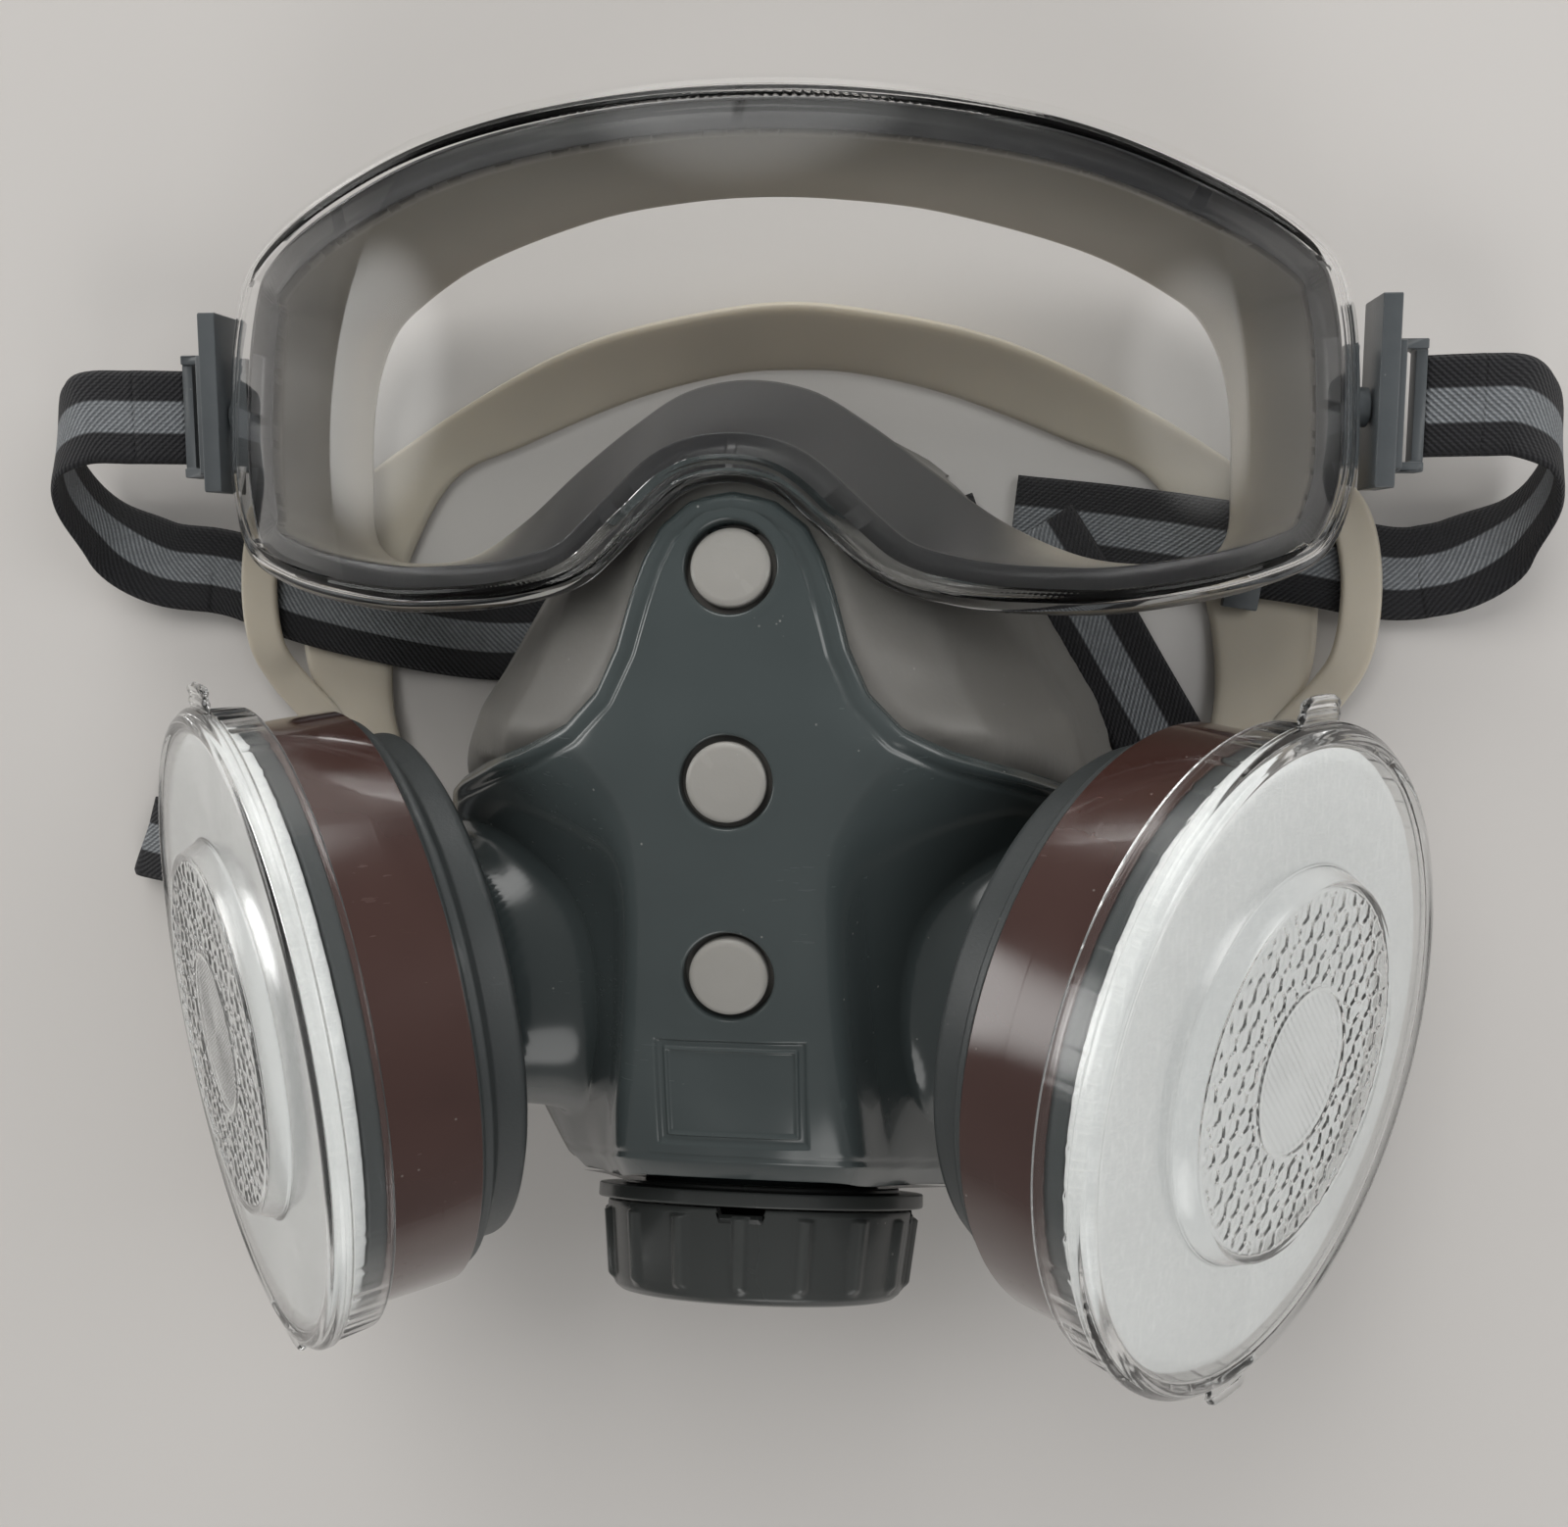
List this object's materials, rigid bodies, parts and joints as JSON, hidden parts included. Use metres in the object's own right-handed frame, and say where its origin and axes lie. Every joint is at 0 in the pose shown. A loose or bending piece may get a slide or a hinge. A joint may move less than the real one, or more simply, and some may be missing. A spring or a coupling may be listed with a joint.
{
  "type": "respirator with goggles",
  "caption": "Half-mask respirator with screw-on filter cartridges under clear covers, an exhalation valve, elastic straps and a pair of clear goggles.",
  "frame": {"origin": "on the resting plane, on the mask's mid-plane, straight below the middle stud of the front shell", "axes": "+X across the face to the right as seen from the front, +Y towards the forehead, +Z away from the face; the face opening looks along -Z"},
  "size_m": [0.2612, 0.1897, 0.1074],
  "materials": {
    "face_seal": "satin",
    "front_shell": "gloss",
    "stud": "satin",
    "port_ring": "satin",
    "gasket": "matte",
    "valve_plastic": "satin",
    "valve_flap": "satin",
    "cartridge_case": "satin",
    "cartridge_label": "gloss",
    "carbon": "matte",
    "grid": "matte",
    "prefilter": "matte",
    "clear_cover": "clear",
    "goggle_lens": "clear",
    "goggle_frame": "satin",
    "clip_plastic": "satin",
    "strap_webbing": "matte",
    "head_cradle": "satin"
  },
  "bodies": {
    "root": {"front_shell": "front_shell", "face_seal": "face_seal", "stud_top": "stud", "stud_middle": "stud", "stud_bottom": "stud", "exhalation_seat": "valve_plastic", "exhalation_flange": "valve_plastic", "right_port_ring": "port_ring", "right_port_gasket": "gasket", "right_inhalation_seat": "valve_plastic", "left_port_ring": "port_ring", "left_port_gasket": "gasket", "left_inhalation_seat": "valve_plastic", "head_cradle": "head_cradle", "left_harness_hook": "clip_plastic", "right_harness_hook": "clip_plastic", "goggle_strap_left": "strap_webbing", "goggle_strap_right": "strap_webbing", "neck_strap_left": "strap_webbing", "neck_strap_right": "strap_webbing"},
    "exhalation_cap": {"exhalation_cap": "valve_plastic"},
    "exhalation_flap": {"exhalation_flap": "valve_flap"},
    "right_inhalation_flap": {"right_inhalation_flap": "valve_flap"},
    "left_inhalation_flap": {"left_inhalation_flap": "valve_flap"},
    "right_cartridge": {"right_cartridge_case": "cartridge_case", "right_cartridge_label": "cartridge_label", "right_carbon_bed": "carbon", "right_retaining_grid": "grid", "right_prefilter_pad": "prefilter"},
    "left_cartridge": {"left_cartridge_case": "cartridge_case", "left_cartridge_label": "cartridge_label", "left_carbon_bed": "carbon", "left_retaining_grid": "grid", "left_prefilter_pad": "prefilter"},
    "right_cover": {"right_clear_cover": "clear_cover"},
    "left_cover": {"left_clear_cover": "clear_cover"},
    "goggles": {"goggle_lens": "goggle_lens", "goggle_frame": "goggle_frame", "left_clip_stud": "clip_plastic", "right_clip_stud": "clip_plastic", "left_strap_loop": "strap_webbing", "right_strap_loop": "strap_webbing"},
    "left_clip": {"left_strap_clip": "clip_plastic", "left_strap_end": "strap_webbing"},
    "right_clip": {"right_strap_clip": "clip_plastic", "right_strap_end": "strap_webbing"},
    "strap_slider": {"strap_slider": "clip_plastic"}
  },
  "joints": [
    {"name": "exhalation_cap_turn", "type": "hinge", "parent": "root", "child": "exhalation_cap", "pos_m": [0, -0.0709, 0.0446], "axis": [0, -0.9367, 0.3502], "range_deg": [0, 60]},
    {"name": "exhalation_flap_lift", "type": "slide", "parent": "root", "child": "exhalation_flap", "axis": [0, -0.9367, 0.3502], "range_m": [0, 0.002], "stiffness_N_per_m": 60},
    {"name": "right_inhalation_flap_lift", "type": "slide", "parent": "root", "child": "right_inhalation_flap", "axis": [-0.7876, 0.0997, -0.6081], "range_m": [0, 0.002], "stiffness_N_per_m": 60},
    {"name": "left_inhalation_flap_lift", "type": "slide", "parent": "root", "child": "left_inhalation_flap", "axis": [0.7876, 0.0997, -0.6081], "range_m": [0, 0.002], "stiffness_N_per_m": 60},
    {"name": "right_cartridge_turn", "type": "hinge", "parent": "root", "child": "right_cartridge", "pos_m": [0.0486, -0.037, 0.0476], "axis": [0.7876, -0.0997, 0.6081], "range_deg": [0, 60]},
    {"name": "left_cartridge_turn", "type": "hinge", "parent": "root", "child": "left_cartridge", "pos_m": [-0.0486, -0.037, 0.0476], "axis": [-0.7876, -0.0997, 0.6081], "range_deg": [0, 60]},
    {"name": "right_cover_lift", "type": "slide", "parent": "right_cartridge", "child": "right_cover", "axis": [0.7876, -0.0997, 0.6081], "range_m": [0, 0.02]},
    {"name": "left_cover_lift", "type": "slide", "parent": "left_cartridge", "child": "left_cover", "axis": [-0.7876, -0.0997, 0.6081], "range_m": [0, 0.02]},
    {"name": "goggles_lift", "type": "slide", "parent": "root", "child": "goggles", "axis": [0, 0, 1], "range_m": [0, 0.025]},
    {"name": "left_clip_swivel", "type": "hinge", "parent": "goggles", "child": "left_clip", "pos_m": [-0.096, 0.054, 0.022], "axis": [1, 0, 0], "range_deg": [-20, 20]},
    {"name": "right_clip_swivel", "type": "hinge", "parent": "goggles", "child": "right_clip", "pos_m": [0.096, 0.054, 0.022], "axis": [1, 0, 0], "range_deg": [-20, 20]},
    {"name": "strap_slider_slide", "type": "slide", "parent": "root", "child": "strap_slider", "axis": [-0.9894, 0.1455, 0], "range_m": [0, 0.012]}
  ]
}
